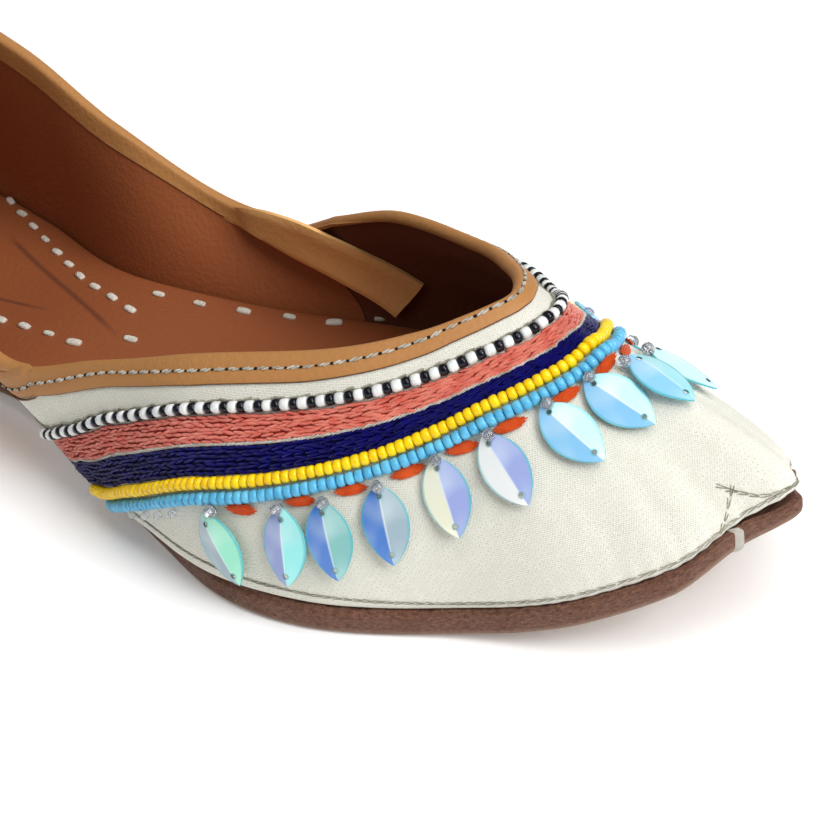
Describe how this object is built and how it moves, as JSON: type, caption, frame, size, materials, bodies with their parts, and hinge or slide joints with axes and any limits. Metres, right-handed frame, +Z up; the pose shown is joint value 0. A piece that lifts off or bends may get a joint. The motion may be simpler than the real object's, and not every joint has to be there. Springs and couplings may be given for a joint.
{
  "type": "mojari shoe",
  "caption": "Flat slip-on mojari shoe: leather sole with an upturned toe tab, low leather quarter, and a cream cloth vamp with stitched bands, bead rows and leaf sequins.",
  "frame": {"origin": "on the floor under the middle of the shoe's bounding box", "axes": "+X toward the toe along the length, +Z up, -Y toward the outer side"},
  "size_m": [0.25, 0.0872, 0.0591],
  "materials": {
    "sole_leather": "matte reddish brown cut edge, fibrous",
    "insole_leather": "soft satin brown",
    "vamp_cloth": "matte woven cream cotton",
    "tan_leather": "soft satin tan",
    "quarter_leather": "soft satin tan",
    "lining_leather": "soft matte brown",
    "coral_thread": "satin embroidery thread",
    "navy_thread": "satin embroidery thread",
    "orange_thread": "satin embroidery thread",
    "cord_thread": "twisted metallic grey-gold cord",
    "white_thread": "matte sewing thread",
    "white_bead": "glossy opaque glass",
    "black_bead": "glossy opaque glass",
    "yellow_bead": "glossy opaque glass",
    "blue_bead": "glossy opaque glass",
    "clear_bead": "clear glass",
    "leaf_sequin": "thin glossy iridescent film"
  },
  "bodies": {
    "root": {"outsole": "sole_leather", "insole": "insole_leather", "upper": "vamp_cloth", "vamp_binding": "tan_leather", "quarter_binding": "tan_leather", "wing_binding_outer": "tan_leather", "wing_binding_inner": "tan_leather", "quarter_tail_outer": "tan_leather", "quarter_tail_inner": "tan_leather", "coral_band": "coral_thread", "navy_band": "navy_thread", "beads_black_white": "white_bead", "beads_yellow": "yellow_bead", "beads_blue": "blue_bead", "leaf_sequin_01": "leaf_sequin", "leaf_sequin_02": "leaf_sequin", "leaf_sequin_03": "leaf_sequin", "leaf_sequin_04": "leaf_sequin", "leaf_sequin_05": "leaf_sequin", "leaf_sequin_06": "leaf_sequin", "leaf_sequin_07": "leaf_sequin", "leaf_sequin_08": "leaf_sequin", "leaf_sequin_09": "leaf_sequin", "leaf_sequin_10": "leaf_sequin", "leaf_sequin_11": "leaf_sequin", "leaf_sequin_12": "leaf_sequin", "leaf_sequin_13": "leaf_sequin", "leaf_sequin_14": "leaf_sequin", "leaf_sequin_15": "leaf_sequin", "leaf_sequin_16": "leaf_sequin"}
  },
  "joints": []
}
